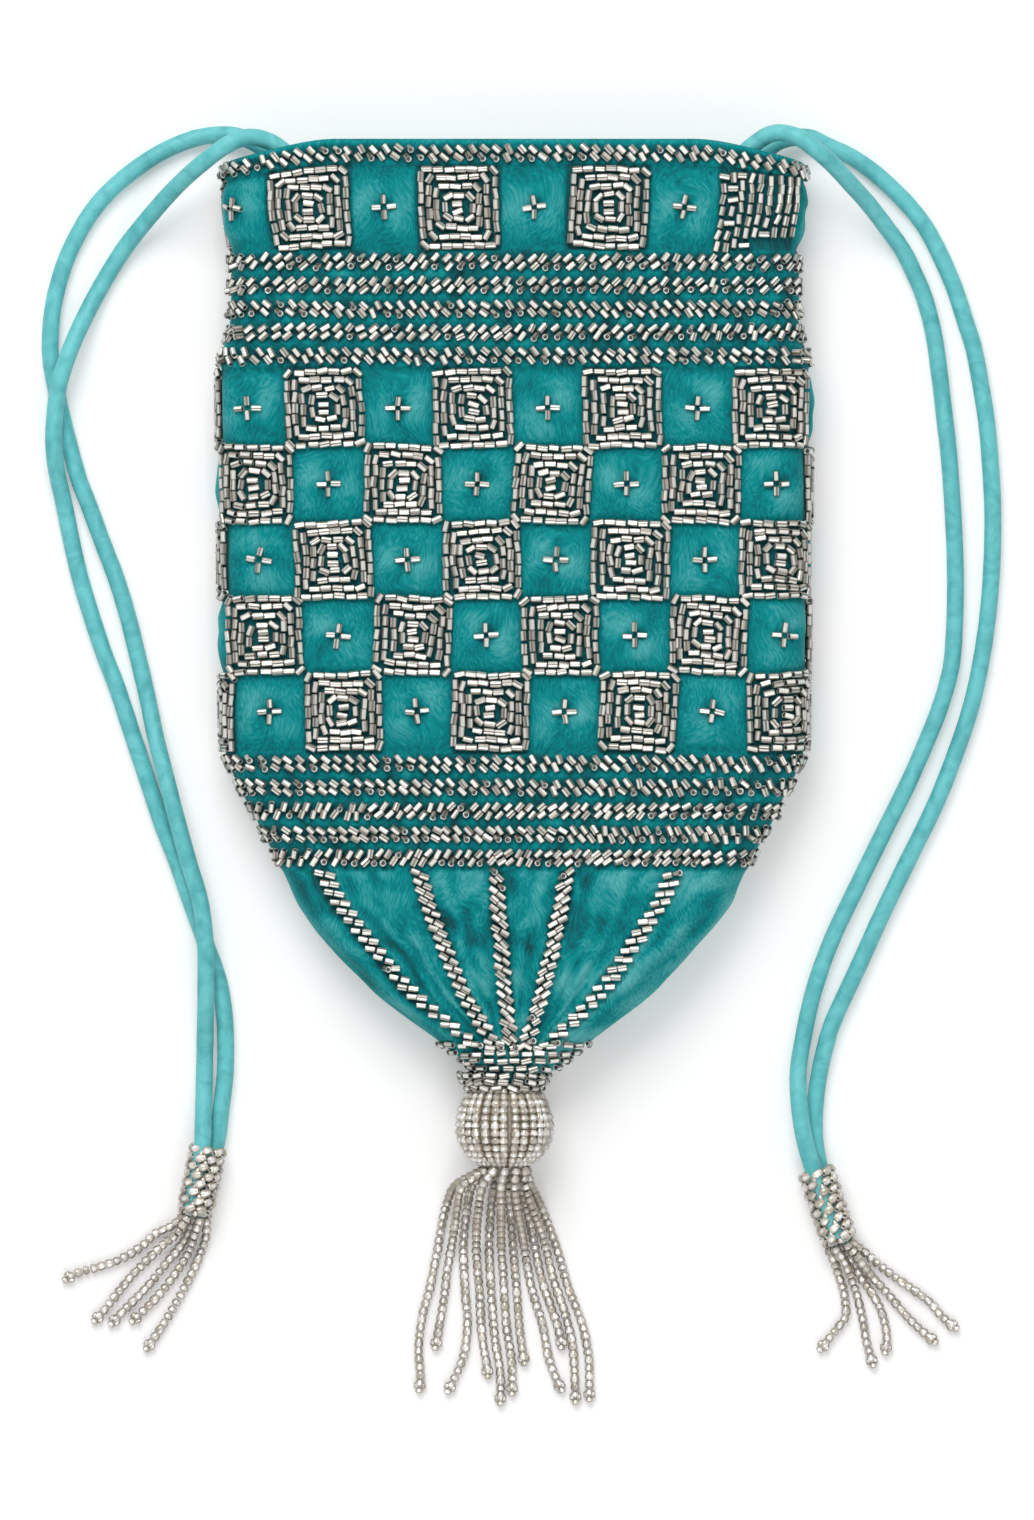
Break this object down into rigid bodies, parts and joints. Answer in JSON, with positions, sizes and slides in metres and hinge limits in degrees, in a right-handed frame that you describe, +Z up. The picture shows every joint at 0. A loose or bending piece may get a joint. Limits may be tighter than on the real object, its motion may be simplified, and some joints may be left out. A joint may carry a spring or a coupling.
{
  "type": "beaded drawstring bag",
  "caption": "Flat velvet drawstring pouch with glass bead checks, crosses and bead rows, two cords with netted bead ends, and a bead tassel on a ball at its tip.",
  "frame": {"origin": "on the table, under the middle of the bag with its tassel", "axes": "+X across the bag to the viewer's right, +Y along it from the tassel to the mouth, +Z up from the table, out of the beaded front"},
  "size_m": [0.2118, 0.2829, 0.0212],
  "materials": {
    "velvet": "crushed cotton velvet, teal, with a lighter nap",
    "lining_cloth": "plain woven turquoise lining",
    "cord_cloth": "pale turquoise cloth cord, smooth with small wrinkles",
    "silver_lined_bugles": "short clear bugle beads with a silver lining, bright and sparkling",
    "clear_seed_beads": "small round clear seed beads with a silver lining"
  },
  "bodies": {
    "root": {"velvet_shell": "velvet", "lining": "lining_cloth", "bead_checks_front": "silver_lined_bugles", "bead_checks_back_right": "silver_lined_bugles", "bead_checks_back_left": "silver_lined_bugles", "top_check_front_1": "silver_lined_bugles", "top_check_back_1": "silver_lined_bugles", "top_check_front_2": "silver_lined_bugles", "top_check_back_2": "silver_lined_bugles", "top_check_front_3": "silver_lined_bugles", "top_check_back_3": "silver_lined_bugles", "top_check_front_4": "silver_lined_bugles", "top_check_back_4": "silver_lined_bugles", "rim_row": "silver_lined_bugles", "upper_row_1": "silver_lined_bugles", "lower_row_1": "silver_lined_bugles", "upper_row_2": "silver_lined_bugles", "lower_row_2": "silver_lined_bugles", "upper_row_3": "silver_lined_bugles", "lower_row_3": "silver_lined_bugles", "upper_row_4": "silver_lined_bugles", "lower_row_4": "silver_lined_bugles", "upper_row_5": "silver_lined_bugles", "lower_row_5": "silver_lined_bugles", "tip_cap": "silver_lined_bugles", "tassel_ball": "clear_seed_beads", "tassel_strand_1": "clear_seed_beads", "tassel_strand_2": "clear_seed_beads", "tassel_strand_3": "clear_seed_beads", "tassel_strand_4": "clear_seed_beads", "tassel_strand_5": "clear_seed_beads", "tassel_strand_6": "clear_seed_beads", "tassel_strand_7": "clear_seed_beads", "tassel_strand_8": "clear_seed_beads", "tassel_strand_9": "clear_seed_beads", "tassel_strand_10": "clear_seed_beads", "tassel_strand_11": "clear_seed_beads", "drawstring_front_left_tail": "cord_cloth", "drawstring_back_left_tail": "cord_cloth", "drawstring_front_right_tail": "cord_cloth", "drawstring_back_right_tail": "cord_cloth", "drawstring_front_run": "cord_cloth", "drawstring_back_run": "cord_cloth", "left_collar": "clear_seed_beads", "right_collar": "clear_seed_beads", "left_collar_strand_1": "clear_seed_beads", "left_collar_strand_2": "clear_seed_beads", "left_collar_strand_3": "clear_seed_beads", "left_collar_strand_4": "clear_seed_beads", "left_collar_strand_5": "clear_seed_beads", "right_collar_strand_1": "clear_seed_beads", "right_collar_strand_2": "clear_seed_beads", "right_collar_strand_3": "clear_seed_beads", "right_collar_strand_4": "clear_seed_beads", "right_collar_strand_5": "clear_seed_beads"}
  },
  "joints": []
}
